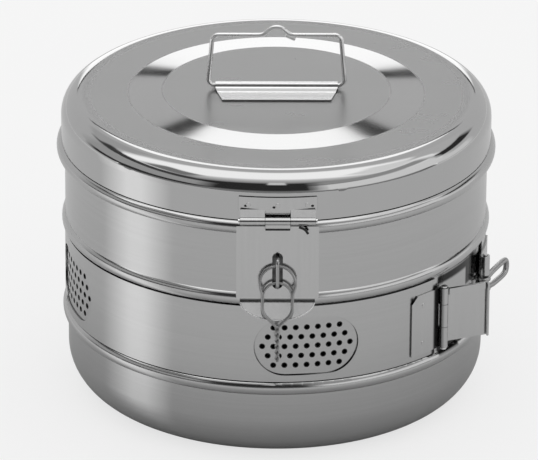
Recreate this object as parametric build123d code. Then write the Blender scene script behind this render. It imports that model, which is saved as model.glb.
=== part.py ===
"""Sterilization drum: a polished steel dressing drum with a hinged lid, a hasp and a shutter band.

Millimetres. Origin at the centre of the flat base, +Z up, the hasp towards -Y.
An azimuth is counted in degrees from the front (-Y) towards the right (+X).
"""

import math
import os

from build123d import *

# ---- sheet, wire and working clearances ----
sheet = 1.0
hinge_sheet = 1.2
fold_gap = 0.4
running_gap = 0.05
weld_r = 1.6
weld_height = 0.3
weld_sink = 0.05
weld_reach = 0.75  # share of a leaf's half width where its outer welds sit
pin_head_ratio = 1.6

# ---- drum body ----
wall_r = 145.0
vent_course_r = 144.0
pan_r = 143.4
pan_corner_r = 31.0
low_bead_z = 57.0
mid_bead_z = 123.0
rim_bead_z = 176.0
stiffening_bead_r = 5.6
low_bead_crest = 147.0
mid_bead_crest = 147.3
rim_bead_r = 5.0
rim_bead_crest = 150.6
rim_r = 144.6
rim_z = 190.5

# ---- vents: rows of holes in the wall, and the windows of the shutter over them ----
vent_z = 88.0
vent_first_azimuth = 8.0
vent_spacing = 82.0
vent_count = 4
vent_rows = (7, 8, 9, 8, 7)
hole_r = 1.55
hole_pitch = 7.5
row_pitch = 6.9
window_width = 71.0
window_height = 42.0

# ---- shutter band ----
band_gap = 0.3
band_sheet = 1.0
band_side_gap = 0.4
band_start = 76.2
band_end = 407.6

# ---- band latch: hinged plate on one band end, wire loop on the other ----
latch_bottom = 66.0
latch_top = 110.0
leaf_azimuth = 38.6
plate_pin_azimuth = 49.8
keeper_pin_azimuth = 73.5
keeper_far_azimuth = 87.0
leaf_chamfer = 7.0
leaf_weld_azimuth = 42.6
leaf_weld_margin = 8.0
plate_knuckle_r = 2.9
plate_knuckle_bottom = 81.5
plate_knuckle_top = 98.0
latch_pin_r = 1.3
plate_angle = 28.0
plate_length = 34.0
plate_bottom = 69.0
plate_top = 108.0
lip_r = 1.9
hem_height = 4.5
hem_sheet = 0.8
hem_inset = 1.0
keeper_knuckle_r = 3.4
keeper_knuckle_height = 14.0
keeper_pin_r = 1.0
loop_wire_r = 1.4
loop_legs = 8.0
loop_reach = 30.0
loop_angle = 13.0

# ---- lid ----
lid_r = 147.4
lid_seat_gap = 0.35
lid_top = 213.0
lid_shoulder_r = 14.5
panel_r = 78.5
panel_slope_r = 101.0
panel_rise = 1.8

# ---- lid handle: wire bail turning in a rolled clip ----
bail_wire_r = 1.5
bail_half_width = 46.8
bail_top_half_width = 43.8
bail_height = 37.0
bail_corner_r = 4.5
bail_hump_half = 12.5
bail_hump_rise = 5.8
bail_lap_length = 7.0
bail_lap_drop = 2.85
bail_play = 0.1
clip_y = 1.5
clip_wall = 1.0
clip_end_gap = 0.5
clip_front_half_width = 37.0
clip_depth = 25.0

# ---- front hasp and rear hinge, both with their pins along X ----
hinge_z = 183.0
hinge_knuckle_r = 2.8
hinge_pin_r = 1.3
hinge_half_width = 25.0
hinge_mid_half = 8.3
knuckle_gap = 0.3
crest_gap = 0.6
leaf_half_angle = 10.1
leaf_bottom = 187.0
leaf_weld_z = 193.0
rear_leaf_bottom = 148.0
rear_leaf_top = 160.5
rear_joggle_z = 166.0
rear_weld_z = 152.3

hasp_half_width = 27.5
hasp_top = 179.6
hasp_crease = 126.0
hasp_corner_r = 3.0
tab_half_width = 25.0
tab_length = 14.0
tab_angle = 35.0
slot_width = 7.0
slot_bottom = 134.2
slot_top = 160.4

# ---- staple, and the seal wire wound twice through its eye ----
staple_wire_r = 1.2
staple_leg_low = 137.4
staple_leg_high = 157.6
staple_reach = 14.8
staple_bend_r = 3.2
staple_plate_half_angle = 3.6
staple_plate_margin = 8.0
seal_wire_r = 0.9
seal_play = 0.3
seal_lean = 14.0
seal_r = 10.0
seal_side = 6.0
seal_tip_r = 1.6
seal_close_angle = 45.0
seal_high_r = 12.0
seal_high_rise = 11.7
seal_shoulder_r = 8.0
seal_spread = 2.1
tail_length = 26.0
tail_strand = 0.85
tail_turns = 3.0

# ---- places worked out from the sizes above ----
band_inner = vent_course_r + band_gap
band_outer = band_inner + band_sheet
hinge_y = rim_bead_crest + crest_gap + hinge_sheet / 2
plate_pin_radius = band_outer + fold_gap + plate_knuckle_r
keeper_pin_radius = band_outer + keeper_knuckle_r + hinge_sheet / 2
vents = [vent_first_azimuth - vent_spacing * i for i in range(vent_count)]
panel_z = lid_top + panel_rise
clip_bore_r = bail_wire_r + bail_play
clip_outer_r = clip_bore_r + clip_wall
bail_z = panel_z + clip_outer_r
clip_half_width = bail_half_width - bail_corner_r - clip_end_gap


def outline(start, *steps):
    """Closed face in the X-Z plane: each step is the next corner, or (point on an arc, its end)."""
    edges, here = [], start
    for step in steps:
        if isinstance(step[0], tuple):
            edges.append(ThreePointArc(here, *step))
            here = step[1]
        else:
            edges.append(Line(here, step))
            here = step
    edges.append(Line(here, start))
    return Plane.XZ * make_face(edges)


def at_wall(azimuth, radius, height=0.0):
    """Plane on an upright cylinder: local X along it to the right, Y up and Z outwards."""
    a = math.radians(azimuth)
    across, out = (math.cos(a), math.sin(a), 0), (math.sin(a), -math.cos(a), 0)
    origin = (radius * out[0], radius * out[1], height)
    return Plane(origin=origin, x_dir=across, z_dir=out)


def curved_sheet(inner, outer, bottom, top, start, end):
    """Patch of rolled sheet between two azimuths."""
    section = Pos((inner + outer) / 2, (bottom + top) / 2) * Rectangle(outer - inner, top - bottom)
    return Rot(0, 0, start - 90) * revolve(Plane.XZ * section, Axis.Z, end - start)


def upright(radius, bottom, top):
    """Cylinder standing on the local origin's axis."""
    return extrude(Plane.XY.offset(bottom) * Circle(radius), top - bottom)


def crosswise(radius, low, high, y, z):
    """Cylinder along X."""
    return extrude(Plane.YZ.offset(low) * Pos(y, z) * Circle(radius), high - low)


def bead_ends(crest, radius, z, below, above):
    """Where a rolled bead of round section leaves the wall under it and the wall over it."""
    centre = crest - radius
    low = (below, z - math.sqrt(radius**2 - (below - centre) ** 2))
    high = (above, z + math.sqrt(radius**2 - (above - centre) ** 2))
    return low, (crest, z), high


def spot_weld(plane):
    """Shallow round press mark left by a spot weld."""
    return extrude(plane * Circle(weld_r), weld_height, taper=30)


# ---- drum body ----


def base_pan():
    """Deep-drawn bottom: flat floor, round corner, short wall and the low bead that seats the wall."""
    low, crest, high = bead_ends(low_bead_crest, stiffening_bead_r, low_bead_z, pan_r, vent_course_r)
    in_low, in_crest, in_high = bead_ends(
        low_bead_crest - sheet, stiffening_bead_r - sheet, low_bead_z, pan_r - sheet, vent_course_r - sheet
    )
    diagonal = pan_corner_r * (1 - math.sqrt(0.5))
    inner_corner = pan_corner_r - sheet
    inner_diagonal = sheet + inner_corner * (1 - math.sqrt(0.5))
    face = outline(
        (0, 0),
        (pan_r - pan_corner_r, 0),
        ((pan_r - diagonal, diagonal), (pan_r, pan_corner_r)),
        low,
        (crest, high),
        (vent_course_r - sheet, high[1]),
        in_high,
        (in_crest, in_low),
        (pan_r - sheet, pan_corner_r),
        ((pan_r - inner_diagonal, inner_diagonal), (pan_r - pan_corner_r, sheet)),
        (0, sheet),
    )
    return revolve(face, Axis.Z)


def wall_seat_z():
    return bead_ends(low_bead_crest, stiffening_bead_r, low_bead_z, pan_r, vent_course_r)[2][1]


def vent_holes():
    """Cutters for every hole of every vent."""
    cutters = []
    pitch_angle = math.degrees(hole_pitch / vent_course_r)
    for azimuth in vents:
        for row, count in enumerate(vent_rows):
            height = vent_z + (row - (len(vent_rows) - 1) / 2) * row_pitch
            for place in range(count):
                turn = azimuth + (place - (count - 1) / 2) * pitch_angle
                start = at_wall(turn, vent_course_r - 2 * sheet, height)
                cutters.append(extrude(start * Circle(hole_r), 3 * sheet))
    return cutters


def drum_wall():
    """Rolled wall: vented course, middle bead, plain course, rim bead and the rim inside the lid."""
    low, crest, high = bead_ends(mid_bead_crest, stiffening_bead_r, mid_bead_z, vent_course_r, wall_r)
    in_low, in_crest, in_high = bead_ends(
        mid_bead_crest - sheet, stiffening_bead_r - sheet, mid_bead_z, vent_course_r - sheet, wall_r - sheet
    )
    rim_low, rim_crest, rim_high = bead_ends(rim_bead_crest, rim_bead_r, rim_bead_z, wall_r, rim_r)
    in_rim_low, in_rim_crest, in_rim_high = bead_ends(
        rim_bead_crest - sheet, rim_bead_r - sheet, rim_bead_z, wall_r - sheet, rim_r - sheet
    )
    edge_r = sheet / 2
    face = outline(
        (vent_course_r - sheet, wall_seat_z()),
        (vent_course_r, wall_seat_z()),
        low,
        (crest, high),
        rim_low,
        (rim_crest, rim_high),
        (rim_r, rim_z - edge_r),
        ((rim_r - edge_r, rim_z), (rim_r - sheet, rim_z - edge_r)),
        in_rim_high,
        (in_rim_crest, in_rim_low),
        in_high,
        (in_crest, in_low),
    )
    return revolve(face, Axis.Z) - vent_holes()


# ---- shutter band and its latch ----


def shutter_band():
    """Open band that turns round the vented course; its windows are the vents' openings."""
    bottom = wall_seat_z() + band_side_gap
    bead_foot = bead_ends(mid_bead_crest, stiffening_bead_r, mid_bead_z, vent_course_r, wall_r)[0]
    top = bead_foot[1] - band_side_gap
    band = curved_sheet(band_inner, band_outer, bottom, top, band_start, band_end)
    for azimuth in vents:
        start = at_wall(azimuth, band_inner - 6 * band_sheet, vent_z)
        band -= extrude(start * SlotOverall(window_width, window_height), 8 * band_sheet)
    return band


def latch_leaf():
    """Fixed leaf of the latch plate's hinge, with a knuckle above and below the plate's own."""
    leaf = curved_sheet(
        band_outer, band_outer + hinge_sheet, latch_bottom, latch_top, leaf_azimuth, plate_pin_azimuth
    )
    corner = at_wall(leaf_azimuth, band_inner, latch_top)
    leaf -= extrude(corner * Rot(0, 0, 45) * Rectangle(leaf_chamfer, leaf_chamfer), 6 * sheet)
    pin = at_wall(plate_pin_azimuth, plate_pin_radius)
    relief = plate_knuckle_r + fold_gap
    notch_height = plate_knuckle_top - plate_knuckle_bottom + 2 * knuckle_gap
    notch = Pos(0, (plate_knuckle_bottom + plate_knuckle_top) / 2, 0)
    leaf -= pin * notch * Box(2 * relief, notch_height, 4 * relief)
    axis = Pos(*pin.origin)
    leaf += axis * upright(plate_knuckle_r, latch_bottom, plate_knuckle_bottom - knuckle_gap)
    leaf += axis * upright(plate_knuckle_r, plate_knuckle_top + knuckle_gap, latch_top)
    leaf -= axis * upright(latch_pin_r + running_gap, latch_bottom - sheet, latch_top + sheet)
    for height in (latch_bottom + leaf_weld_margin, latch_top - leaf_weld_margin):
        leaf += spot_weld(at_wall(leaf_weld_azimuth, band_outer + hinge_sheet - weld_sink, height))
    return leaf


def headed_pin(radius, low, high):
    """Upright pin with a low domed head at both ends."""
    head = radius * pin_head_ratio
    cap = upright(head, high + knuckle_gap, high + knuckle_gap + sheet)
    foot = upright(head, low - knuckle_gap - sheet, low - knuckle_gap)
    return upright(radius, low - knuckle_gap, high + knuckle_gap) + cap + foot


def latch_pin():
    """Pin through the latch plate's hinge."""
    place = Pos(*at_wall(plate_pin_azimuth, plate_pin_radius).origin)
    return place * headed_pin(latch_pin_r, latch_bottom, latch_top)


def pin_plane(azimuth, radius, turned_out):
    """Plane on an upright pin: X along the band turned outwards, Y towards the wall, Z up."""
    pin = at_wall(azimuth, radius)
    level = Plane(origin=pin.origin, x_dir=pin.x_dir, z_dir=(0, 0, 1))
    return level.rotated((0, 0, -turned_out))


def latch_plate():
    """Hinged plate with a hem along its top and a curled lip that the wire loop catches."""
    face = plate_knuckle_r - hinge_sheet / 2
    clear = plate_knuckle_r + fold_gap
    reach = plate_length - lip_r
    width, height = reach - clear, plate_top - plate_bottom
    knuckle_height = plate_knuckle_top - plate_knuckle_bottom
    plate = upright(plate_knuckle_r, plate_knuckle_bottom, plate_knuckle_top)
    middle = (plate_knuckle_top + plate_knuckle_bottom) / 2
    plate += Pos(clear / 2, face, middle) * Box(clear, hinge_sheet, knuckle_height)
    plate += Pos(clear + width / 2, face, plate_bottom + height / 2) * Box(width, hinge_sheet, height)
    lip = Circle(lip_r) - Circle(lip_r - hinge_sheet) - Pos(-lip_r, 0) * Rectangle(2 * lip_r, 2 * lip_r)
    plate += extrude(Plane.XY.offset(plate_bottom) * Pos(reach, plate_knuckle_r - lip_r) * lip, height)
    hem_y = plate_knuckle_r - hinge_sheet - hem_sheet / 2
    hem = Pos(clear + width / 2, hem_y, plate_top - hem_height / 2)
    plate += hem * Box(width - 2 * hem_inset, hem_sheet, hem_height)
    plate -= upright(latch_pin_r + running_gap, plate_bottom, plate_top)
    return pin_plane(plate_pin_azimuth, plate_pin_radius, plate_angle) * plate


def keeper_leaf():
    """Leaf on the other band end, with the two knuckles that hold the loop's pin."""
    leaf = curved_sheet(
        band_outer, band_outer + hinge_sheet, latch_bottom, latch_top, keeper_pin_azimuth, keeper_far_azimuth
    )
    pin = at_wall(keeper_pin_azimuth, keeper_pin_radius)
    relief = keeper_knuckle_r + fold_gap
    open_height = latch_top - latch_bottom - 2 * keeper_knuckle_height
    window = Pos(0, (latch_bottom + latch_top) / 2, 0)
    leaf -= pin * window * Box(2 * relief, open_height, 4 * relief)
    axis = Pos(*pin.origin)
    leaf += axis * upright(keeper_knuckle_r, latch_bottom, latch_bottom + keeper_knuckle_height)
    leaf += axis * upright(keeper_knuckle_r, latch_top - keeper_knuckle_height, latch_top)
    return leaf - axis * upright(keeper_pin_r + running_gap, latch_bottom - sheet, latch_top + sheet)


def keeper_pin():
    """Pin that the wire loop swings on."""
    place = Pos(*at_wall(keeper_pin_azimuth, keeper_pin_radius).origin)
    return place * headed_pin(keeper_pin_r, latch_bottom, latch_top)


def wire_loop():
    """U of wire, each end closed into an eye round the keeper pin."""
    bore_r = keeper_pin_r + running_gap
    eye_r = bore_r + 2 * loop_wire_r
    half = loop_legs / 2
    bend = loop_reach - half - loop_wire_r
    start = bore_r + loop_wire_r
    legs = Line((start, half), (bend, half))
    legs += ThreePointArc((bend, half), (bend + half, 0), (bend, -half))
    legs += Line((bend, -half), (start, -half))
    section = Plane(origin=(start, half, 0), z_dir=(1, 0, 0)) * Circle(loop_wire_r)
    wire = Rot(90, 0, 0) * sweep(section, path=legs)
    for height in (half, -half):
        wire += upright(eye_r, height - loop_wire_r, height + loop_wire_r)
    wire -= upright(bore_r, -loop_legs, loop_legs)
    middle = (latch_bottom + latch_top) / 2
    return pin_plane(keeper_pin_azimuth, keeper_pin_radius, loop_angle) * Pos(0, 0, middle) * wire


# ---- lid ----


def lid_bottom():
    centre = rim_bead_crest - rim_bead_r
    inner = lid_r - sheet
    return rim_bead_z + math.sqrt(rim_bead_r**2 - (inner - centre) ** 2) + lid_seat_gap


def lid_shell():
    """Pressed lid: plain skirt, round shoulder and a panel raised by a shallow slope."""
    shoulder = lid_shoulder_r * (1 - math.sqrt(0.5))
    inner_shoulder = sheet + (lid_shoulder_r - sheet) * (1 - math.sqrt(0.5))
    face = outline(
        (lid_r - sheet, lid_bottom()),
        (lid_r, lid_bottom()),
        (lid_r, lid_top - lid_shoulder_r),
        ((lid_r - shoulder, lid_top - shoulder), (lid_r - lid_shoulder_r, lid_top)),
        (panel_slope_r, lid_top),
        (panel_r, panel_z),
        (0, panel_z),
        (0, panel_z - sheet),
        (panel_r, panel_z - sheet),
        (panel_slope_r, lid_top - sheet),
        (lid_r - lid_shoulder_r, lid_top - sheet),
        ((lid_r - inner_shoulder, lid_top - inner_shoulder), (lid_r - sheet, lid_top - lid_shoulder_r)),
    )
    return revolve(face, Axis.Z)


def handle_clip():
    """Sheet clip on the lid, rolled into a tube that the bail turns in."""
    tube = Circle(clip_outer_r) - Circle(clip_bore_r)
    flange_depth = clip_depth - clip_outer_r
    flange = Pos(-flange_depth / 2, clip_wall / 2 - clip_outer_r) * Rectangle(flange_depth, clip_wall)
    flange -= Circle(clip_bore_r)
    section = Plane.YZ.offset(-clip_half_width) * Pos(clip_y, bail_z) * (tube + flange)
    clip = extrude(section, 2 * clip_half_width)
    front = clip_y - flange_depth
    back = clip_y - clip_outer_r
    for side in (-1, 1):
        corner = Polyline(
            (side * clip_half_width, back),
            (side * clip_front_half_width, front),
            (side * clip_front_half_width, front - sheet),
            (side * (clip_half_width + sheet), front - sheet),
            (side * (clip_half_width + sheet), back),
            close=True,
        )
        clip -= extrude(Plane.XY.offset(panel_z - sheet) * make_face(corner), 4 * sheet)
    for x in (-weld_reach, 0, weld_reach):
        place = Pos(x * clip_front_half_width, (front + back) / 2, panel_z + clip_wall - weld_sink)
        clip += spot_weld(Plane.XY.move(place))
    return clip


def lid_handle():
    """Closed wire bail: bar in the clip, two legs drawn in to the top bar, and a humped finger grip."""
    low, high = (bail_half_width, 0), (bail_top_half_width, bail_height)
    foot, peak = (bail_hump_half, bail_height), (0, bail_height + bail_hump_rise)
    path = FilletPolyline((0, 0), low, high, foot, radius=bail_corner_r)
    path += Spline(foot, peak, tangents=((-1, 0), (-1, 0)))
    path += mirror(path, Plane.YZ)
    wire = sweep(Plane.YZ * Circle(bail_wire_r), path=path)
    lap_start = (bail_hump_half, bail_height - bail_lap_drop, 0)
    lap_plane = Plane(origin=lap_start, z_dir=(-bail_hump_half, bail_hump_rise, 0))
    wire += extrude(lap_plane * Circle(bail_wire_r), bail_lap_length)
    return Pos(0, clip_y, bail_z) * Rot(90, 0, 0) * wire


# ---- hinges along X ----


def knuckle_row(y, spans):
    barrel = Part()
    for low, high in spans:
        barrel += crosswise(hinge_knuckle_r, low, high, y, hinge_z)
    return barrel


def outer_spans():
    inner_end = hinge_mid_half + knuckle_gap
    return [(-hinge_half_width, -inner_end), (inner_end, hinge_half_width)]


def hinge_bore(y):
    reach = hinge_half_width + sheet
    return crosswise(hinge_pin_r + running_gap, -reach, reach, y, hinge_z)


def lid_leaf(side, spans):
    """Leaf welded to the lid's skirt, with a web down to its knuckles. side is -1 in front, 1 behind."""
    azimuth = 0 if side < 0 else 180
    leaf = curved_sheet(
        lid_r, lid_r + hinge_sheet, leaf_bottom, lid_top - lid_shoulder_r,
        azimuth - leaf_half_angle, azimuth + leaf_half_angle,
    )
    web_top = leaf_bottom + 3 * sheet
    low_edge, high_edge = hinge_y + hinge_knuckle_r, lid_r + hinge_knuckle_r - 2 * sheet
    corners = Polyline(
        (low_edge - hinge_sheet, hinge_z),
        (low_edge, hinge_z),
        (high_edge, web_top),
        (high_edge - hinge_sheet, web_top),
        close=True,
    )
    for low, high in spans:
        web = extrude(Plane.YZ.offset(low) * make_face(corners), high - low)
        if side < 0:
            web = mirror(web, Plane.XZ)
        leaf += web
    leaf += knuckle_row(side * hinge_y, spans)
    leaf -= upright(lid_r, lid_bottom(), lid_top)
    return leaf - hinge_bore(side * hinge_y)


def hasp_top_leaf():
    """Front leaf on the lid, with three weld marks and the two outer knuckles of the hasp's hinge."""
    leaf = lid_leaf(-1, outer_spans())
    for share in (-weld_reach, 0, weld_reach):
        leaf += spot_weld(at_wall(share * leaf_half_angle, lid_r + hinge_sheet - weld_sink, leaf_weld_z))
    return leaf


def rear_hinge_upper():
    """Rear leaf on the lid, with the middle knuckle."""
    return lid_leaf(1, [(-hinge_mid_half, hinge_mid_half)])


def joggled_section(top):
    """Side view of the lower rear leaf from the wall out over the rim bead and up to a height."""
    half = hinge_sheet / 2
    slope = math.hypot(hinge_y - wall_r, rear_joggle_z - rear_leaf_top)
    slant = half * slope / (hinge_y - wall_r)
    foot = wall_r - sheet
    corners = Polyline(
        (hinge_y - half, top),
        (hinge_y - half, rear_joggle_z + slant / 2),
        (foot, rear_leaf_top),
        (foot, rear_leaf_top - 2 * slant),
        (hinge_y + half, rear_joggle_z - slant / 2),
        (hinge_y + half, top),
        close=True,
    )
    return make_face(corners)


def rear_hinge_lower():
    """Rear leaf on the drum, joggled out over the rim bead to the two outer knuckles."""
    full_width_top = hinge_z - hinge_knuckle_r - fold_gap
    width = 2 * hinge_half_width
    leaf = extrude(Plane.YZ.offset(-hinge_half_width) * joggled_section(full_width_top), width)
    for low, high in outer_spans():
        leaf += extrude(Plane.YZ.offset(low) * joggled_section(hinge_z), high - low)
    spread = math.degrees(hinge_half_width / wall_r)
    leaf += curved_sheet(
        wall_r, wall_r + hinge_sheet, rear_leaf_bottom, rear_leaf_top, 180 - spread, 180 + spread
    )
    leaf += knuckle_row(hinge_y, outer_spans())
    leaf -= upright(wall_r, rear_leaf_bottom - sheet, rear_joggle_z)
    leaf -= hinge_bore(hinge_y)
    for share in (-weld_reach, weld_reach):
        leaf += spot_weld(at_wall(180 + share * spread, wall_r + hinge_sheet - weld_sink, rear_weld_z))
    return leaf


def hinge_pin(side):
    """Pin along X with a low head at both ends."""
    reach = hinge_half_width + knuckle_gap
    pin = crosswise(hinge_pin_r, -reach, reach, side * hinge_y, hinge_z)
    for low in (-reach - sheet, reach):
        pin += crosswise(pin_head_ratio * hinge_pin_r, low, low + sheet, side * hinge_y, hinge_z)
    return pin


def hasp_plate():
    """Hanging hasp: knuckle, slotted plate and a tab bent out for the finger."""
    height = hasp_top - hasp_crease
    middle = (hasp_top + hasp_crease) / 2
    plate = Pos(0, middle) * Rectangle(2 * hasp_half_width, height)
    plate = fillet(plate.vertices().group_by(Axis.Y)[0], hasp_corner_r)
    plate += Pos(0, (hasp_top + hinge_z) / 2) * Rectangle(2 * hinge_mid_half, hinge_z - hasp_top)
    slot_length = slot_top - slot_bottom
    plate -= Pos(0, (slot_top + slot_bottom) / 2) * Rot(0, 0, 90) * SlotOverall(slot_length, slot_width)
    back = Plane(origin=(0, hinge_sheet / 2 - hinge_y, 0), x_dir=(1, 0, 0), z_dir=(0, -1, 0))
    hasp = extrude(back * plate, hinge_sheet)
    hasp += knuckle_row(-hinge_y, [(-hinge_mid_half, hinge_mid_half)])
    hasp -= hinge_bore(-hinge_y)
    tab = Ellipse(tab_half_width, tab_length)
    tab &= Pos(0, -tab_length / 2) * Rectangle(2 * tab_half_width, tab_length)
    tab += Pos(0, sheet / 4) * Rectangle(2 * tab_half_width, sheet / 2)
    crease = Plane(origin=(0, hinge_sheet / 2 - hinge_y, hasp_crease), x_dir=(1, 0, 0), z_dir=(0, -1, 0))
    lip = extrude(crease.rotated((-tab_angle, 0, 0)) * tab, hinge_sheet)
    return hasp + lip


# ---- staple and seal wire ----


def staple_plate():
    """Small welded plate that the staple's legs are set in."""
    plate = curved_sheet(
        wall_r, wall_r + hinge_sheet,
        staple_leg_low - staple_plate_margin, staple_leg_high + staple_plate_margin,
        -staple_plate_half_angle, staple_plate_half_angle,
    )
    for height in (staple_leg_low, staple_leg_high):
        plate -= extrude(at_wall(0, wall_r - sheet, height) * Circle(staple_wire_r + running_gap), 4 * sheet)
    return plate


def staple():
    """Wire staple, its eye standing out through the hasp's slot."""
    low, high, bend = staple_leg_low, staple_leg_high, staple_bend_r
    foot, out = -wall_r - running_gap, -wall_r - staple_reach
    diagonal = bend * (1 - math.sqrt(0.5))
    path = Line((foot, low), (out + bend, low))
    path += ThreePointArc((out + bend, low), (out + diagonal, low + diagonal), (out, low + bend))
    path += Line((out, low + bend), (out, high - bend))
    path += ThreePointArc((out, high - bend), (out + diagonal, high - diagonal), (out + bend, high))
    path += Line((out + bend, high), (foot, high))
    start = Plane(origin=(foot, low, 0), z_dir=(-1, 0, 0)) * Circle(staple_wire_r)
    return Plane.YZ * sweep(start, path=path)


def seal_top():
    """Centre of the seal wire where its low turn rests on the staple's lower leg."""
    eye_inner = hinge_y + hinge_sheet / 2
    eye_outer = wall_r + staple_reach - staple_wire_r
    height = staple_leg_low + staple_wire_r + seal_wire_r + seal_play
    return Plane(origin=(0, -(eye_inner + eye_outer) / 2, height), x_dir=(1, 0, 0), z_dir=(0, -1, 0))


def seal_point():
    """Height at which the two straight sides of a turn would meet, below its top."""
    return -seal_r - seal_side - seal_r / math.sin(math.radians(seal_close_angle))


def seal_turn(radius, rise):
    """One turn of the wire: a round top on straight sides that close to a point below."""
    centre = rise - radius
    lean = math.acos((seal_r + seal_shoulder_r) / (radius + seal_shoulder_r))
    side_top = centre - (radius + seal_shoulder_r) * math.sin(lean)
    side_end = -seal_r - seal_side
    close = math.radians(seal_close_angle)
    tip_centre = seal_point() + seal_tip_r / math.sin(close)
    knee = (seal_r * math.cos(close), side_end - seal_r * math.sin(close))
    tip_start = (seal_tip_r * math.cos(close), tip_centre - seal_tip_r * math.sin(close))
    path = CenterArc((0, centre), radius, 90, -90 - math.degrees(lean))
    if lean > 0:
        hollow = (seal_r + seal_shoulder_r, side_top)
        path += CenterArc(hollow, seal_shoulder_r, 180 - math.degrees(lean), math.degrees(lean))
    path += Line((seal_r, side_top), (seal_r, side_end))
    path += CenterArc((0, side_end), seal_r, 0, -seal_close_angle)
    path += Line(knee, tip_start)
    path += CenterArc((0, tip_centre), seal_tip_r, -seal_close_angle, seal_close_angle - 90)
    path += mirror(path, Plane.YZ)
    section = Plane(origin=(0, rise, 0), z_dir=(1, 0, 0)) * Circle(seal_wire_r)
    return sweep(section, path=path)


def seal_wire():
    """Wire wound twice through the staple's eye, its two ends twisted together into a tail."""
    hang = seal_top().rotated((-seal_lean, 0, 0))
    low_turn = hang * seal_turn(seal_r, 0)
    high_turn = hang * Pos(0, 0, seal_spread) * seal_turn(seal_high_r, seal_high_rise)
    foot = hang.from_local_coords((0, seal_point() + seal_tip_r, seal_spread / 2))
    strands = Pos(0, tail_strand) * Circle(seal_wire_r) + Pos(0, -tail_strand) * Circle(seal_wire_r)
    tail = twisted_bar(strands, tail_length, 360 * tail_turns)
    return low_turn + high_turn + Pos(foot.X, foot.Y, foot.Z - tail_length) * tail


def twisted_bar(face, length, angle):
    """Straight bar twisted evenly about its own axis."""
    return Solid.extrude_linear_with_rotation(face.face(), (0, 0, 0), (0, 0, length), angle)


NODES = {
    "base_pan": base_pan,
    "drum_wall": drum_wall,
    "shutter_band": shutter_band,
    "latch_leaf": latch_leaf,
    "latch_pin": latch_pin,
    "latch_plate": latch_plate,
    "keeper_leaf": keeper_leaf,
    "keeper_pin": keeper_pin,
    "wire_loop": wire_loop,
    "lid_shell": lid_shell,
    "handle_clip": handle_clip,
    "lid_handle": lid_handle,
    "hasp_top_leaf": hasp_top_leaf,
    "hasp_pin": lambda: hinge_pin(-1),
    "hasp_plate": hasp_plate,
    "rear_hinge_upper": rear_hinge_upper,
    "rear_hinge_lower": rear_hinge_lower,
    "rear_hinge_pin": lambda: hinge_pin(1),
    "staple_plate": staple_plate,
    "staple": staple,
    "seal_wire": seal_wire,
}

os.makedirs("parts", exist_ok=True)
for name, build in NODES.items():
    export_step(build(), f"parts/{name}.step")
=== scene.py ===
"""Looks of the sterilization drum: polished sheet steel, plated wire and a pale studio.

Metres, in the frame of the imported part: the base rests on z = 0 and the hasp faces -Y.
"""

import math

import bmesh
import bpy
from mathutils import Matrix, Vector


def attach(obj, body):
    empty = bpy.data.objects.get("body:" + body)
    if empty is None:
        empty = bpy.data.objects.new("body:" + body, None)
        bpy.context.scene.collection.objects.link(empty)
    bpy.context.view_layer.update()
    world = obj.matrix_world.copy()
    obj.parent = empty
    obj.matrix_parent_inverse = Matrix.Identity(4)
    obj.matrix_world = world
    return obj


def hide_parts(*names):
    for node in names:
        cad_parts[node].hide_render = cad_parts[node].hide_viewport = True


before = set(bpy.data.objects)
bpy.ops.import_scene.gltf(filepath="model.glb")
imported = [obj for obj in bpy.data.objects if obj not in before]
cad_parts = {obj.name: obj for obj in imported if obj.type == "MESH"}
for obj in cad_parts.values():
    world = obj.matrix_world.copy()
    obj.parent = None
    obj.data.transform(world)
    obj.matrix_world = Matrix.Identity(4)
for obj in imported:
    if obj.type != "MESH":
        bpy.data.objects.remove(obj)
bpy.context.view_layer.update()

# ---- view of the photograph ----
VIEW_ELEVATION = math.radians(23.76)
VIEW_AZIMUTH = math.radians(-0.5)
VIEW_DISTANCE = 4.0
VIEW_AIM = Vector((-0.0045, 0.0, 0.1099))
VIEW_ROLL = math.radians(0.36)
SENSOR_WIDTH = 36.0
LENS = 387.2
CLIP_NEAR, CLIP_FAR = 0.1, 100

# ---- studio ----
FLOOR_SIZE = 8.0
FLOOR_ALBEDO = 0.72
# What the camera sees of the floor: its own glow, and how much of a shadow it takes.
FLOOR_SEEN = 0.72
FLOOR_SEEN_ALBEDO = 0.23
# Floor's shade near the drum, over the distance from the axis.
FLOOR_SHADE = [(0.13, 0.66), (0.2, 0.76), (0.32, 0.94), (0.5, 1.0)]
# Light pool on the floor that the wall mirrors: a wedge from a point, fading near the drum.
GLEAM_FADE = [(0.14, 0.0), (0.19, 0.8), (0.26, 1.0)]
GLEAM_FROM = (-0.0411, -0.1019)
GLEAM_HEADING = -82.0
GLEAM_HALF = 5.0
GLEAM_SOFT = 20.0
GLEAM = 0.52
AMBIENT = 0.86
STUDIO_PEAK = 1.7
DEGREES = 180 / math.pi
ARCH_START = -90.0
# Brightness that metal mirrors, over the angle from the front horizon up and over to the back.
ARCH = [
    (-90, 0.35), (-20, 0.35), (-16, 0.16), (5, 0.16), (12, 0.02), (47, 0.02), (52, 0.22),
    (68, 0.5), (74, 0.86), (110, 0.86), (118, 0.36), (180, 0.36), (184, 0.5), (270, 0.35),
]
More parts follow.
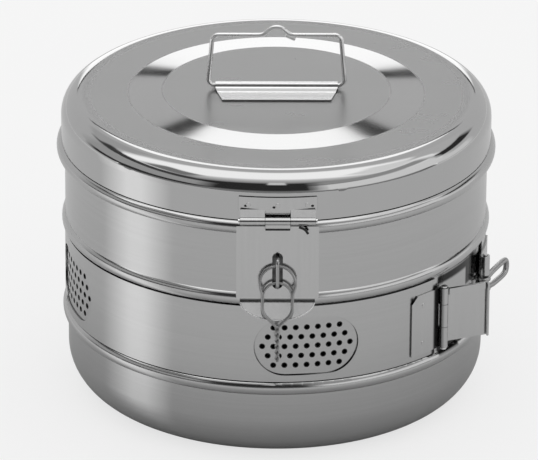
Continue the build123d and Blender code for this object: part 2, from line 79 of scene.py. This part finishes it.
# Panels round the drum, each painted over those before it: heading from the front towards +X,
# half width, elevation from and to, then soft edges across and up, then brightness.
PANELS = [
    ((62, 34, 6, 29), (12, 4), 0.56),
    ((62, 34, 34, 44), (12, 4), 0.24),
    ((92, 22, 49, 64), (12, 4), 0.6),
    ((117, 14, 22, 31.5), (8, 2), 0.02),
    ((108, 10, 3, 12), (8, 3), 0.52),
    ((128, 14, 34, 50), (8, 3), 0.38),
    ((-80, 36, 12, 29), (12, 4), 0.27),
    ((-78, 30, 4.5, 9.5), (12, 2), 0.02),
    ((-90, 38, 32, 39), (10, 3), 0.04),
    ((-75, 14, 44, 56), (10, 4), 0.16),
    ((-141, 12, 34, 50), (6, 3), 0.3),
    ((180, 9.4, 30.2, 40), (3, 0.5), 0.95),
    ((180, 9.4, -2, 17.2), (3, 0.5), 0.9),
    ((180, 11, 28.4, 29.7), (2, 0.3), 0.0),
    ((180, 11, 17.8, 19.0), (2, 0.3), 0.0),
    ((0, 5, 41.5, 54), (1.5, 1), 0.5),
]


def node(tree, kind, **inputs):
    """New shader node with its plain input values set."""
    made = tree.nodes.new(kind)
    for name, value in inputs.items():
        made.inputs[name.replace("_", " ")].default_value = value
    return made


def math_node(tree, operation, first, second=None):
    """Math node whose inputs are sockets or numbers."""
    made = tree.nodes.new("ShaderNodeMath")
    made.operation = operation
    for socket, value in zip(made.inputs, (first, second)):
        if isinstance(value, (int, float)):
            socket.default_value = value
        elif value is not None:
            tree.links.new(value, socket)
    return made.outputs[0]


def ramp(tree, value, stops):
    """Grey colour ramp over a socket, from (position, level) pairs."""
    made = tree.nodes.new("ShaderNodeValToRGB")
    elements = made.color_ramp.elements
    while len(elements) > 1:
        elements.remove(elements[0])
    for index, (position, level) in enumerate(stops):
        stop = elements[0] if index == 0 else elements.new(position)
        stop.position = position
        stop.color = grey(level)
    tree.links.new(value, made.inputs["Fac"])
    return made.outputs["Color"]


def grey(level):
    """Opaque grey of a level."""
    return (level, level, level, 1)


def mix_node(tree, factor, first, second, blend="MIX"):
    """Colour mix whose factor and colours are sockets or values."""
    made = tree.nodes.new("ShaderNodeMix")
    made.data_type = "RGBA"
    made.blend_type = blend
    for name, value in (("Factor", factor), ("A", first), ("B", second)):
        if isinstance(value, bpy.types.NodeSocket):
            tree.links.new(value, made.inputs[name])
        else:
            made.inputs[name].default_value = value
    return made.outputs["Result"]


def separate(tree, vector):
    """The X, Y and Z outputs of a vector socket."""
    parts = tree.nodes.new("ShaderNodeSeparateXYZ")
    tree.links.new(vector, parts.inputs[0])
    return parts.outputs


def object_place(tree):
    """Object coordinates, which are the shared frame's in metres."""
    return tree.nodes.new("ShaderNodeTexCoord").outputs["Object"]


def heading_of(tree, right, front):
    """Angle in degrees from the front towards +X."""
    return math_node(tree, "MULTIPLY", math_node(tree, "ARCTAN2", right, front), DEGREES)


def turn_from(tree, heading, centre):
    """Signed angle from one heading to another, between -180 and 180 degrees."""
    away = math_node(tree, "WRAP", math_node(tree, "SUBTRACT", heading, centre), 180.0)
    away.node.inputs[2].default_value = -180.0
    return away


def either(tree, factor, usual, other):
    """Shader that is the usual one, or the other where the factor is 1."""
    chosen = tree.nodes.new("ShaderNodeMixShader")
    tree.links.new(factor, chosen.inputs["Fac"])
    tree.links.new(usual, chosen.inputs[1])
    tree.links.new(other, chosen.inputs[2])
    return chosen.outputs[0]


def added(tree, first, second):
    """Sum of two shaders."""
    made = tree.nodes.new("ShaderNodeAddShader")
    tree.links.new(first, made.inputs[0])
    tree.links.new(second, made.inputs[1])
    return made.outputs[0]


def band(tree, value, low, high, soft):
    """Factor that is 1 where a socket lies between two values, with soft edges outside them."""
    rise = node(tree, "ShaderNodeMapRange", From_Min=low - soft, From_Max=low)
    fall = node(
        tree, "ShaderNodeMapRange", From_Min=high, From_Max=high + soft, To_Min=1.0, To_Max=0.0
    )
    for edge in (rise, fall):
        tree.links.new(value, edge.inputs["Value"])
    return math_node(tree, "MULTIPLY", rise.outputs[0], fall.outputs[0])


# ---- steel finishes ----
MM = 0.001
GRAIN_DETAIL, GRAIN_ROUGHNESS = 4.0, 0.6
CLOUD_SCALE, CLOUD_DETAIL, CLOUD_ROUGHNESS = 14.0, 5.0, 0.55
RELIEF = 0.0004
# Painted shade: ambient occlusion darkens the steel's colour in creases, recesses and between
# parts.
PAINTED_CREASE_SHADE_REACH = 0.003
PAINTED_CREASE_SHADE_SAMPLES = 8
# Painted shade in creases, recesses and between parts: share of the steel's tone that is left, over
# how open a spot is.
PAINTED_CREASE_SHADE = [(0.0, 0.04), (0.35, 0.3), (0.7, 1.0)]
GLOSS_LOW, GLOSS_HIGH = 0.8, 1.25
# Painted shade patches: their near-black tone and soft edges across and up.
PAINTED_SHADE_TONE = 0.035
PAINTED_SHADE_SOFT_ACROSS = 0.7
PAINTED_SHADE_SOFT_UP = 0.002
ZONE_RADIUS = 0.16
MATT_DARKENING = 1.6
LID_ZONES = [
    (0.0, 0.22), (0.0775, 0.22), (0.079, 0.0), (0.1005, 0.0), (0.102, 0.22), (0.127, 0.22),
    (0.1335, 0.0), (0.159, 0),
]
# Painted shade patches, for the shaded gap behind the latch and the dark edges at the band's ends
# and the leaf: azimuths in degrees, then heights in millimetres, from and to.
WALL_SHADE_PATCHES = [(64, 72, 99, 116), (49.5, 64, 112, 116), (49.5, 58, 60, 64)]
BAND_SHADE_PATCHES = [(46.9, 48.6, 62, 112), (38.7, 39.2, 68, 109)]
LEAF_SHADE_PATCHES = [(47.0, 48.4, 62, 112)]


def grain_vector(tree, stretch):
    """Coordinates stretched along the polishing marks."""
    mapping = tree.nodes.new("ShaderNodeMapping")
    mapping.inputs["Scale"].default_value = stretch
    tree.links.new(object_place(tree), mapping.inputs["Vector"])
    return mapping.outputs[0]


def radius_of(tree, coordinates):
    """Distance from the drum's axis."""
    parts = separate(tree, coordinates)
    across = math_node(tree, "MULTIPLY", parts["X"], parts["X"])
    along = math_node(tree, "MULTIPLY", parts["Y"], parts["Y"])
    return math_node(tree, "SQRT", math_node(tree, "ADD", across, along))


def paint_shade_patches(tree, colour, shade_patches):
    """Paint shade into a colour in patches given as azimuths and heights from and to."""
    parts = separate(tree, object_place(tree))
    azimuth = heading_of(tree, parts["X"], math_node(tree, "MULTIPLY", parts["Y"], -1))
    for start, end, low, high in shade_patches:
        across = band(tree, azimuth, start, end, PAINTED_SHADE_SOFT_ACROSS)
        up = band(tree, parts["Z"], low * MM, high * MM, PAINTED_SHADE_SOFT_UP)
        colour = mix_node(tree, math_node(tree, "MULTIPLY", across, up), colour, grey(PAINTED_SHADE_TONE))
    return colour


def steel(name, tone, roughness, stretch, depth=0.02, contrast=0.065, matt_zones=(), shade_patches=()):
    """Polished steel: grain in the colour and gloss, clouds of wear, a hairline relief, and painted
    shade in creases, recesses and in patches.

    Matt zones are (radius, roughness to add) stops counted from the drum's axis.
    """
    material = bpy.data.materials.new(name)
    material.use_nodes = True
    tree = material.node_tree
    shader = tree.nodes["Principled BSDF"]
    shader.inputs["Metallic"].default_value = 1.0
    noise = "ShaderNodeTexNoise"
    grain = node(tree, noise, Scale=1.0, Detail=GRAIN_DETAIL, Roughness=GRAIN_ROUGHNESS)
    tree.links.new(grain_vector(tree, stretch), grain.inputs["Vector"])
    clouds = node(tree, noise, Scale=CLOUD_SCALE, Detail=CLOUD_DETAIL, Roughness=CLOUD_ROUGHNESS)
    tree.links.new(object_place(tree), clouds.inputs["Vector"])
    pale, dark = grey((1 + contrast) * tone), grey((1 - contrast) * tone)
    tint = mix_node(tree, grain.outputs["Fac"], dark, pale)
    # Painted shade: occlusion darkens the colour where parts meet or close in.
    contact = node(tree, "ShaderNodeAmbientOcclusion", Distance=PAINTED_CREASE_SHADE_REACH)
    contact.samples = PAINTED_CREASE_SHADE_SAMPLES
    crease_shade_and_zone_tone = ramp(tree, contact.outputs["AO"], PAINTED_CREASE_SHADE)
    mixed = math_node(tree, "MULTIPLY", grain.outputs["Fac"], 0.5)
    mixed = math_node(tree, "ADD", mixed, clouds.outputs["Fac"])
    low, high = GLOSS_LOW * roughness, GLOSS_HIGH * roughness
    gloss = node(
        tree, "ShaderNodeMapRange", From_Min=0.5, From_Max=1.0, To_Min=low, To_Max=high
    )
    tree.links.new(mixed, gloss.inputs["Value"])
    rough = gloss.outputs[0]
    if matt_zones:
        zone = math_node(tree, "DIVIDE", radius_of(tree, object_place(tree)), ZONE_RADIUS)
        matt = ramp(tree, zone, [(radius / ZONE_RADIUS, level) for radius, level in matt_zones])
        dulled = math_node(tree, "MULTIPLY", matt, MATT_DARKENING)
        crease_shade_and_zone_tone = math_node(tree, "MULTIPLY", crease_shade_and_zone_tone, math_node(tree, "SUBTRACT", 1.0, dulled))
        rough = math_node(tree, "ADD", rough, matt)
    # Grain tone times the painted crease shade and the matt zones' darker colour, then the painted
    # shade patches.
    tone_with_painted_shade = mix_node(tree, 1.0, tint, crease_shade_and_zone_tone, "MULTIPLY")
    tree.links.new(paint_shade_patches(tree, tone_with_painted_shade, shade_patches), shader.inputs["Base Color"])
    tree.links.new(rough, shader.inputs["Roughness"])
    bump = node(tree, "ShaderNodeBump", Strength=depth, Distance=RELIEF)
    tree.links.new(grain.outputs["Fac"], bump.inputs["Height"])
    tree.links.new(bump.outputs[0], shader.inputs["Normal"])
    return material


# Shell, band and sheet steel carry painted shade patches in and beside the latch's gap.
SHELL_STEEL = steel("shell_steel", 0.55, 0.13, (6, 6, 700), shade_patches=WALL_SHADE_PATCHES)
LID_STEEL = steel("lid_steel", 0.56, 0.06, (10, 90, 10), 0.002, 0.012, matt_zones=LID_ZONES)
BAND_STEEL = steel("band_steel", 0.57, 0.14, (6, 6, 700), shade_patches=BAND_SHADE_PATCHES)
SHEET_STEEL = steel("sheet_steel", 0.60, 0.16, (400, 400, 12), shade_patches=LEAF_SHADE_PATCHES)
CLIP_STEEL = steel("clip_steel", 0.84, 0.24, (12, 300, 300))
WIRE_STEEL = steel("wire_steel", 0.9, 0.26, (90, 90, 90))
LOOP_STEEL = steel("loop_steel", 0.42, 0.3, (90, 90, 90))
# Painted shade: the staple's plate is drawn far darker than the other steel, so the hasp's slot in
# front of it reads as shaded.
STAPLE_PLATE_SHADE_STEEL = steel("staple_plate_shade_steel", 0.14, 0.3, (200, 200, 20))
SEAL_STEEL = steel("seal_steel", 0.4, 0.3, (90, 90, 90))
DARK_STEEL = steel("dark_steel", 0.05, 0.4, (90, 90, 90))

FINISH = {
    "base_pan": SHELL_STEEL,
    "drum_wall": SHELL_STEEL,
    "lid_shell": LID_STEEL,
    "shutter_band": BAND_STEEL,
    "staple_plate": STAPLE_PLATE_SHADE_STEEL,
    "rear_hinge_lower": SHEET_STEEL,
    "rear_hinge_upper": SHEET_STEEL,
    "handle_clip": SHEET_STEEL,
    "hasp_top_leaf": SHEET_STEEL,
    "hasp_plate": SHEET_STEEL,
    "latch_leaf": SHEET_STEEL,
    "latch_plate": SHEET_STEEL,
    "keeper_leaf": SHEET_STEEL,
    "staple": LOOP_STEEL,
    "rear_hinge_pin": WIRE_STEEL,
    "lid_handle": WIRE_STEEL,
    "hasp_pin": WIRE_STEEL,
    "seal_wire": SEAL_STEEL,
    "latch_pin": WIRE_STEEL,
    "keeper_pin": WIRE_STEEL,
    "wire_loop": WIRE_STEEL,
}

for node_name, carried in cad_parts.items():
    carried.data.materials.clear()
    carried.data.materials.append(FINISH[node_name])


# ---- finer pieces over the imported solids, in millimetres ----
SHARP_ANGLE = 35


def piece(name, points, faces, material, body):
    """Mesh piece from points in millimetres, riding on a body."""
    mesh = bpy.data.meshes.new(name)
    shape = bmesh.new()
    corners = [shape.verts.new([c * MM for c in point]) for point in points]
    for face in faces:
        shape.faces.new([corners[index] for index in face])
    bmesh.ops.recalc_face_normals(shape, faces=shape.faces)
    shape.to_mesh(mesh)
    shape.free()
    mesh.shade_smooth()
    mesh.set_sharp_from_angle(angle=math.radians(SHARP_ANGLE))
    mesh.materials.append(material)
    made = bpy.data.objects.new(name, mesh)
    bpy.context.scene.collection.objects.link(made)
    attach(made, body)
    return made


def across_sheet(name, section, material, body):
    """Solid along X from a closed section of (y, z, half width) points."""
    points = [(side * half, y, z) for y, z, half in section for side in (-1, 1)]
    count = len(section)
    faces = [tuple(range(0, 2 * count, 2)), tuple(range(1, 2 * count, 2))]
    for index in range(count):
        here, after = 2 * index, 2 * ((index + 1) % count)
        faces.append((here, here + 1, after + 1, after))
    return piece(name, points, faces, material, body)


WIRE_SIDES = 6
WIRE_STEPS = 10


def wire(name, path, radius, material, body):
    """Round wire along a smooth line through the points given."""
    data = bpy.data.curves.new(name, "CURVE")
    data.dimensions = "3D"
    data.bevel_depth = radius * MM
    data.bevel_resolution = WIRE_SIDES
    data.resolution_u = WIRE_STEPS
    data.use_fill_caps = True
    line = data.splines.new("NURBS")
    line.points.add(len(path) - 1)
    for point, place in zip(line.points, path):
        point.co = [c * MM for c in place] + [1]
    line.order_u = 3
    line.use_endpoint_u = True
    data.materials.append(material)
    made = bpy.data.objects.new(name, data)
    bpy.context.scene.collection.objects.link(made)
    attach(made, body)
    return made


CLIP_Y = 1.5
CLIP_Z = 217.4
CLIP_HALF = 41.8
CLIP_FRONT_HALF = 37.0
CLIP_CURL_R = 2.25
CLIP_SHEET = 1.0
# The curl's turns in degrees, then the reach at which the clip's ends start and stop to narrow.
CLIP_CURL = range(305, 20, -10)
CLIP_TAPER_FROM, CLIP_TAPER_LENGTH = 2.6, 19.4
# Middle of the clip's sheet past the curl: forward of the bail's bar, and above it.
CLIP_RAMP = [
    (2.16, 0.46), (2.3, 0.0), (2.6, -0.42), (3.3, -0.82), (4.3, -1.2), (6.7, -1.85),
    (8.0, -2.04), (9.5, -2.08), (22.0, -2.08),
]


def handle_clip():
    """Sheet curled round the bail's bar, swept down in a hollow to a flange on the lid."""
    curl = [math.radians(turn) for turn in CLIP_CURL]
    middle = [(CLIP_CURL_R * math.cos(turn), CLIP_CURL_R * math.sin(turn)) for turn in curl]
    middle += CLIP_RAMP
    upper, lower = [], []
    for index, (ahead, above) in enumerate(middle):
        before, after = middle[max(index - 1, 0)], middle[min(index + 1, len(middle) - 1)]
        along = Vector((after[0] - before[0], after[1] - before[1])).normalized()
        outward = Vector((-along.y, along.x)) * CLIP_SHEET / 2
        taper = max(0.0, (ahead - CLIP_TAPER_FROM) / CLIP_TAPER_LENGTH)
        half = CLIP_HALF + (CLIP_FRONT_HALF - CLIP_HALF) * min(taper, 1.0)
        for side, line in ((1, upper), (-1, lower)):
            y = CLIP_Y - ahead - side * outward.x
            line.append((y, CLIP_Z + above + side * outward.y, half))
    made = across_sheet("handle_clip_curled", upper + lower[::-1], CLIP_STEEL, "lid")
    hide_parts("handle_clip")


HASP_FACE = 152.4
BEND_R = 7.0
BEND_ANGLE = math.radians(35)
BEND_CORNER = (-HASP_FACE, 126.38)
BEND_SINK = 0.3
BEND_HALF = 25.0
BEND_STEPS = 10
# Lap of the curled sheet under the middle knuckle, and a near-black strip under it that is a
# painted shadow: out from the hasp's face, and height.
LAP_HALF = 8.2
CURL_LAP = [(-0.2, 181.5), (1.3, 181.5), (1.3, 178.6), (1.0, 178.2), (-0.2, 178.2)]
CURL_SHADOW_STRIP = [(-0.2, 178.4), (1.2, 178.4), (0.9, 176.9), (-0.2, 176.8)]
TAB_TOP = 126.0
TAB_LENGTH = 13.9
TAB_HALF = 24.9
# The tab's rim: a rounded edge, drawn in brighter wire steel than the tab as a painted highlight.
TAB_HIGHLIGHT_RIM_R = 0.5
TAB_HIGHLIGHT_RIM_STEPS = 24
PIN_TAIL = [
    (14.0, -155.0, 180.2), (17.0, -155.3, 179.3), (19.0, -155.5, 177.6), (20.0, -155.3, 175.6),
]
PIN_TAIL_R = 0.85
# Weld marks on the upper leaf: azimuth in degrees and height.
LEAF_FACE_R = 148.6
WELDS = [(-8.3, 192.1), (-1.0, 191.6), (8.9, 192.1)]


def hasp_bend():
    """Bend radius between the hasp's plate and its lifting tab."""
    reach = BEND_R * math.tan(BEND_ANGLE / 2)
    centre = (BEND_CORNER[0] - BEND_R, BEND_CORNER[1] + reach)
    section = [(BEND_CORNER[0] + BEND_SINK, BEND_CORNER[1], BEND_HALF)]
    for step in range(BEND_STEPS + 1):
        turn = -BEND_ANGLE * step / BEND_STEPS
        y, z = centre[0] + BEND_R * math.cos(turn), centre[1] + BEND_R * math.sin(turn)
        section.append((y, z, BEND_HALF))
    across_sheet("hasp_bend", section, SHEET_STEEL, "hasp")


def hasp_details():
    """The curl's lap under the knuckle with a painted shadow strip below it, the tab's rim with a
    painted highlight, the pin's tail and weld marks.
    """
    # The second strip, in near-black steel, is a painted shadow under the curl's lap.
    for name, section, material in (
        ("hasp_curl_lap", CURL_LAP, SHEET_STEEL), ("hasp_curl_shadow_strip", CURL_SHADOW_STRIP, DARK_STEEL),
    ):
        placed = [(-HASP_FACE - out, z, LAP_HALF) for out, z in section]
        across_sheet(name, placed, material, "hasp")
    tip = Vector((-HASP_FACE, TAB_TOP))
    down = Vector((-math.sin(BEND_ANGLE), -math.cos(BEND_ANGLE)))
    # Rounded rim round the tab in brighter wire steel than the tab: a painted highlight on its
    # edge.
    highlight_rim = []
    for step in range(1, TAB_HIGHLIGHT_RIM_STEPS):
        turn = math.pi * step / TAB_HIGHLIGHT_RIM_STEPS
        spot = tip + down * TAB_LENGTH * math.sin(turn)
        highlight_rim.append((TAB_HALF * math.cos(turn), spot.x, spot.y))
    wire("hasp_tab_highlight_rim", highlight_rim, TAB_HIGHLIGHT_RIM_R, WIRE_STEEL, "hasp")
    wire("hasp_pin_tail", PIN_TAIL, PIN_TAIL_R, DARK_STEEL, "lid")
    for index, (azimuth, height) in enumerate(WELDS):
        out = (math.sin(math.radians(azimuth)), -math.cos(math.radians(azimuth)), 0)
        place = [LEAF_FACE_R * out[0], LEAF_FACE_R * out[1], height]
        mark(f"hasp_weld_{index}", place, out, "lid")


MARK_R = 1.15
MARK_RISE = 0.35
MARK_SIDES = 12
MARK_SQUASH = 0.8
# Rings of a mark: share of its radius and of its rise.
MARK_RINGS = ((0.55, 0.8), (0.85, 0.5), (1.0, -0.4))


def mark(name, place, out, body):
    """Low dark button left by a spot weld."""
    out = Vector(out)
    up = Vector((0, 0, 1))
    along = up.cross(out)
    points, faces = [list(Vector(place) + MARK_RISE * out)], []
    for ring, (reach, rise) in enumerate(MARK_RINGS):
        start = 1 + MARK_SIDES * ring
        for step in range(MARK_SIDES):
            turn = 2 * math.pi * step / MARK_SIDES
            side = math.cos(turn) * along + MARK_SQUASH * math.sin(turn) * up
            points.append(list(Vector(place) + MARK_R * reach * side + MARK_RISE * rise * out))
            here, after = start + step, start + (step + 1) % MARK_SIDES
            inner = (0,) if ring == 0 else (after - MARK_SIDES, here - MARK_SIDES)
            faces.append((here, after) + inner)
    faces.append(tuple(range(len(points) - MARK_SIDES, len(points))))
    piece(name, points, faces, DARK_STEEL, body)


VENT_R = 144.0
VENT_AZIMUTHS = (8, -74, -156, -238)
VENT_ROWS = (7, 8, 9, 8, 7)
HOLE_PITCH = 7.5
ROW_PITCH = 6.9
VENT_Z = 88.0
# Painted shade: near-black rings round the steam holes, which widen their shaded openings.
HOLE_SHADE_IN, HOLE_SHADE_OUT = 1.5, 2.05
# Section of a painted shade ring: radius from the hole's middle, then rise over the wall.
HOLE_SHADE_SECTION = ((HOLE_SHADE_IN, -0.3), (HOLE_SHADE_IN, 0.03), (HOLE_SHADE_OUT, 0.05), (HOLE_SHADE_OUT, -0.3))
HOLE_SHADE_SIDES = 20


def add_hole_shade_ring(points, faces, turn, height):
    """Add one ring that lies on the curved wall round a hole."""
    out = Vector((math.sin(turn), -math.cos(turn), 0))
    side = Vector((math.cos(turn), math.sin(turn), 0))
    base, rings = len(points), len(HOLE_SHADE_SECTION)
    for reach, rise in HOLE_SHADE_SECTION:
        for step in range(HOLE_SHADE_SIDES):
            angle = 2 * math.pi * step / HOLE_SHADE_SIDES
            across, up = reach * math.cos(angle), reach * math.sin(angle)
            spot = out * (VENT_R + rise - across ** 2 / (2 * VENT_R)) + side * across
            points.append(list(spot + Vector((0, 0, height + up))))
    for ring in range(rings):
        low, high = base + ring * HOLE_SHADE_SIDES, base + (ring + 1) % rings * HOLE_SHADE_SIDES
        for step in range(HOLE_SHADE_SIDES):
            after = (step + 1) % HOLE_SHADE_SIDES
            faces.append((low + step, low + after, high + after, high + step))


def hole_shade_rings():
    """Near-black ring round every steam hole of the wall: painted shade that widens the hole's
    shaded opening.
    """
    points, faces = [], []
    for vent in VENT_AZIMUTHS:
        for row, count in enumerate(VENT_ROWS):
            height = VENT_Z + (row - 2) * ROW_PITCH
            for place in range(count):
                turn = math.radians(vent) + (place - (count - 1) / 2) * HOLE_PITCH / VENT_R
                add_hole_shade_ring(points, faces, turn, height)
    piece("vent_hole_shade_rings", points, faces, DARK_STEEL, "drum")


LOOP_AZIMUTH = 73.5
LOOP_PIN_R = 149.3
LOOP_TURN = 13.0
LOOP_WIRE_R = 2.0
# Along the loop from the pin, then half the spread of its legs, then height over the base.
LOOP_LEG = [
    (2.9, 3.6, 88.6), (6.0, 3.9, 88.6), (12.0, 5.0, 88.8), (22.0, 5.3, 89.4), (27.6, 5.3, 89.8),
]
# Round nose: along the loop from the pin, and height.
LOOP_NOSE = [(32.0, 94.6), (33.4, 90.2), (32.0, 85.6)]
EYE_R, EYE_WIRE_R = 2.9, 1.6
EYE_Z, EYE_SPREAD = 88.4, 3.6
EYE_STEPS = 8
EYE_LEAD = 0.1


def wire_loop():
    """Thick wire loop on the keeper pin: two eyes, spreading legs and a round nose."""
    azimuth = math.radians(LOOP_AZIMUTH)
    pin = Vector((LOOP_PIN_R * math.sin(azimuth), -LOOP_PIN_R * math.cos(azimuth), 0))
    heading = math.radians(LOOP_AZIMUTH - LOOP_TURN)
    along = Vector((math.cos(heading), math.sin(heading), 0))
    path = [pin + along * reach + Vector((0, 0, height + half)) for reach, half, height in LOOP_LEG]
    path += [pin + along * reach + Vector((0, 0, height)) for reach, height in LOOP_NOSE]
    for reach, half, height in reversed(LOOP_LEG):
        path.append(pin + along * reach + Vector((0, 0, height - half)))
    made = wire("wire_loop_bent", path, LOOP_WIRE_R, LOOP_STEEL, "loop")
    for side in (-1, 1):
        ring = []
        for step in range(EYE_STEPS + 1):
            turn = 2 * math.pi * step / EYE_STEPS
            height = EYE_Z + side * EYE_SPREAD + EYE_LEAD * step
            ring.append(pin + Vector((EYE_R * math.cos(turn), EYE_R * math.sin(turn), height)))
        eye = wire(f"loop_eye_{side + 1}", ring, EYE_WIRE_R, LOOP_STEEL, "loop")
        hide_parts("wire_loop")
    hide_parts("wire_loop")


handle_clip()
hasp_bend()
hasp_details()
hole_shade_rings()
wire_loop()

# ---- floor, world and camera ----


def floor():
    """Pale floor: even and white to the eye, with the drum's soft shadow on it."""
    mesh = bpy.data.meshes.new("floor")
    half = FLOOR_SIZE / 2
    corners = [(-half, -half, 0), (half, -half, 0), (half, half, 0), (-half, half, 0)]
    mesh.from_pydata(corners, [], [(0, 1, 2, 3)])
    plane = bpy.data.objects.new("floor", mesh)
    bpy.context.scene.collection.objects.link(plane)
    material = bpy.data.materials.new("floor")
    material.use_nodes = True
    tree = material.node_tree
    tree.nodes.clear()
    output = tree.nodes.new("ShaderNodeOutputMaterial")
    where = object_place(tree)
    plain = node(tree, "ShaderNodeBsdfDiffuse")
    shades = [(radius, FLOOR_ALBEDO * level) for radius, level in FLOOR_SHADE]
    tree.links.new(ramp(tree, radius_of(tree, where), shades), plain.inputs["Color"])
    parts = separate(tree, where)
    right = math_node(tree, "SUBTRACT", parts["X"], GLEAM_FROM[0])
    front = math_node(tree, "SUBTRACT", GLEAM_FROM[1], parts["Y"])
    away = turn_from(tree, heading_of(tree, right, front), GLEAM_HEADING)
    gleam = band(tree, away, -GLEAM_HALF, GLEAM_HALF, GLEAM_SOFT)
    fade = ramp(tree, radius_of(tree, where), GLEAM_FADE)
    gleam = math_node(tree, "MULTIPLY", gleam, fade)
    lit = node(tree, "ShaderNodeEmission", Color=grey(1))
    tree.links.new(math_node(tree, "MULTIPLY", gleam, GLEAM), lit.inputs["Strength"])
    pooled = added(tree, plain.outputs[0], lit.outputs[0])
    glow = node(tree, "ShaderNodeEmission", Color=grey(1), Strength=FLOOR_SEEN)
    catcher = node(tree, "ShaderNodeBsdfDiffuse", Color=grey(FLOOR_SEEN_ALBEDO))
    lifted = added(tree, glow.outputs[0], catcher.outputs[0])
    seen = tree.nodes.new("ShaderNodeLightPath").outputs["Is Camera Ray"]
    tree.links.new(either(tree, seen, pooled, lifted), output.inputs["Surface"])
    mesh.materials.append(material)


def studio():
    """World: an even light, in which metal mirrors a pale backdrop, soft boxes and a dark room."""
    world = bpy.data.worlds.new("studio")
    bpy.context.scene.world = world
    world.use_nodes = True
    tree = world.node_tree
    tree.nodes.clear()
    output = tree.nodes.new("ShaderNodeOutputWorld")
    parts = separate(tree, tree.nodes.new("ShaderNodeTexCoord").outputs["Generated"])
    front = math_node(tree, "MULTIPLY", parts["Y"], -1)
    rise = math_node(tree, "MULTIPLY", math_node(tree, "ARCSINE", parts["Z"]), DEGREES)
    over = math_node(tree, "MULTIPLY", math_node(tree, "ARCTAN2", parts["Z"], front), DEGREES)
    below = math_node(tree, "LESS_THAN", over, ARCH_START)
    over = math_node(tree, "ADD", over, math_node(tree, "MULTIPLY", below, 360.0))
    place = math_node(tree, "DIVIDE", math_node(tree, "SUBTRACT", over, ARCH_START), 360.0)
    level = ramp(tree, place, [((degrees - ARCH_START) / 360, bright) for degrees, bright in ARCH])
    heading = heading_of(tree, parts["X"], front)
    for (centre, half, low, high), (soft_across, soft_up), brightness in PANELS:
        across = band(tree, turn_from(tree, heading, centre), -half, half, soft_across)
        panel = math_node(tree, "MULTIPLY", across, band(tree, rise, low, high, soft_up))
        level = mix_node(tree, panel, level, grey(brightness))
    mirrored = node(tree, "ShaderNodeBackground", Strength=STUDIO_PEAK)
    tree.links.new(level, mirrored.inputs["Color"])
    even = node(tree, "ShaderNodeBackground", Color=grey(1), Strength=AMBIENT)
    glossy = tree.nodes.new("ShaderNodeLightPath").outputs["Is Glossy Ray"]
    chosen = either(tree, glossy, even.outputs[0], mirrored.outputs[0])
    tree.links.new(chosen, output.inputs["Surface"])


def camera():
    """Long lens from the front, level with the photograph's."""
    data = bpy.data.cameras.new("camera")
    data.sensor_width = SENSOR_WIDTH
    data.lens = LENS
    data.clip_start, data.clip_end = CLIP_NEAR, CLIP_FAR
    eye = bpy.data.objects.new("camera", data)
    bpy.context.scene.collection.objects.link(eye)
    level = math.cos(VIEW_ELEVATION)
    back = Vector((
        math.sin(VIEW_AZIMUTH) * level, -math.cos(VIEW_AZIMUTH) * level, math.sin(VIEW_ELEVATION)
    ))
    turn = (-back).to_track_quat("-Z", "Y").to_matrix().to_4x4()
    place = Matrix.Translation(VIEW_AIM + VIEW_DISTANCE * back)
    eye.matrix_world = place @ turn @ Matrix.Rotation(VIEW_ROLL, 4, "Z")
    bpy.context.scene.camera = eye


floor()
studio()
camera()
bpy.context.scene.view_settings.view_transform = "Standard"
